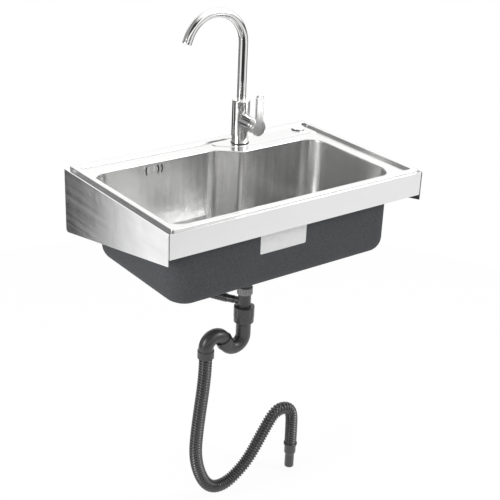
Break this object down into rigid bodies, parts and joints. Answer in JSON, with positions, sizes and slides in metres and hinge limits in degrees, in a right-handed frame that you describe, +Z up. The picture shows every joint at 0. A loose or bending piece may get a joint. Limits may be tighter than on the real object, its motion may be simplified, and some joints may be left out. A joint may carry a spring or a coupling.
{
  "type": "wall-mounted kitchen sink",
  "caption": "Single-bowl stainless sink held in a folded wall bracket, with single-lever gooseneck tap, basket strainer, overflow, trap and ribbed waste hose.",
  "frame": {"origin": "centre of the four wall bolt holes, on the wall plane", "axes": "+X to the right as seen from the room, +Y into the wall, +Z up"},
  "size_m": [0.702, 0.4325, 1.191],
  "materials": {
    "brushed_sheet": "brushed 304 sheet of the wall bracket",
    "apron_sheet": "finely brushed bright front apron",
    "sink_sheet": "satin brushed sink sheet, bright on the rim",
    "sound_coating": "sprayed sound-deadening coating, fine speckle",
    "label_film": "blank pale film label",
    "polished_steel": "polished steel",
    "black_rubber": "moulded rubber",
    "black_plastic": "moulded black plastic, satin",
    "grey_plastic": "moulded grey plastic",
    "hose_plastic": "corrugated black plastic, half gloss",
    "tap_steel": "finely brushed tap steel",
    "lever_steel": "bright satin steel",
    "brass_insert": "machined brass"
  },
  "bodies": {
    "root": {"left_side_panel": "brushed_sheet", "right_side_panel": "brushed_sheet", "front_apron": "apron_sheet", "rear_rail": "brushed_sheet", "sink_shell": "sink_sheet", "bowl_coating": "sound_coating", "product_label": "label_film", "strainer_flange": "polished_steel", "strainer_gasket": "black_rubber", "under_gasket": "black_rubber", "drain_housing": "black_plastic", "centre_screw": "polished_steel", "outlet_nut": "grey_plastic", "outlet_washer": "black_rubber", "tail_tee": "black_plastic", "trap_nut": "black_plastic", "trap_seal": "black_rubber", "trap_lower_bend": "black_plastic", "trap_upper_bend": "black_plastic", "drain_hose": "hose_plastic", "hose_end_connector": "hose_plastic", "overflow_gasket": "black_rubber", "overflow_elbow": "black_plastic", "overflow_screw": "polished_steel", "overflow_hose": "hose_plastic", "base_gasket": "black_rubber", "tap_body": "tap_steel", "spout_collar": "tap_steel", "spout_bush": "grey_plastic", "spout_o_rings": "black_rubber", "cartridge": "grey_plastic", "cartridge_nut": "brass_insert", "bonnet_dome": "tap_steel", "tap_shank": "brass_insert", "rubber_washer": "black_rubber", "steel_washer": "polished_steel", "shank_nut": "brass_insert", "hole_cap": "lever_steel", "cap_gasket": "black_rubber", "cap_nut": "grey_plastic"},
    "spout": {"spout_tube": "tap_steel", "spout_clip": "polished_steel", "aerator_housing": "tap_steel", "aerator_screen": "grey_plastic"},
    "temperature": {"cartridge_carrier": "grey_plastic", "lever_pin": "polished_steel"},
    "lever": {"lever_stem": "brass_insert", "lever_handle": "lever_steel", "lever_set_screw": "polished_steel", "index_plug": "grey_plastic"},
    "basket": {"strainer_basket": "polished_steel", "basket_knob": "polished_steel", "basket_stopper": "black_rubber"}
  },
  "joints": [
    {"name": "spout_swivel", "type": "hinge", "parent": "root", "child": "spout", "pos_m": [0.097, -0.057, 0.1895], "axis": [0, 0, 1], "range_deg": [-10, 190]},
    {"name": "lever_temperature", "type": "hinge", "parent": "root", "child": "temperature", "pos_m": [0.097, -0.111, 0.1375], "axis": [0, 1, 0], "range_deg": [-45, 45]},
    {"name": "lever_flow", "type": "hinge", "parent": "temperature", "child": "lever", "pos_m": [0.097, -0.111, 0.1375], "axis": [1, 0, 0], "range_deg": [0, 25]},
    {"name": "basket_lift", "type": "slide", "parent": "root", "child": "basket", "axis": [0, 0, 1], "range_m": [0, 0.28]}
  ]
}
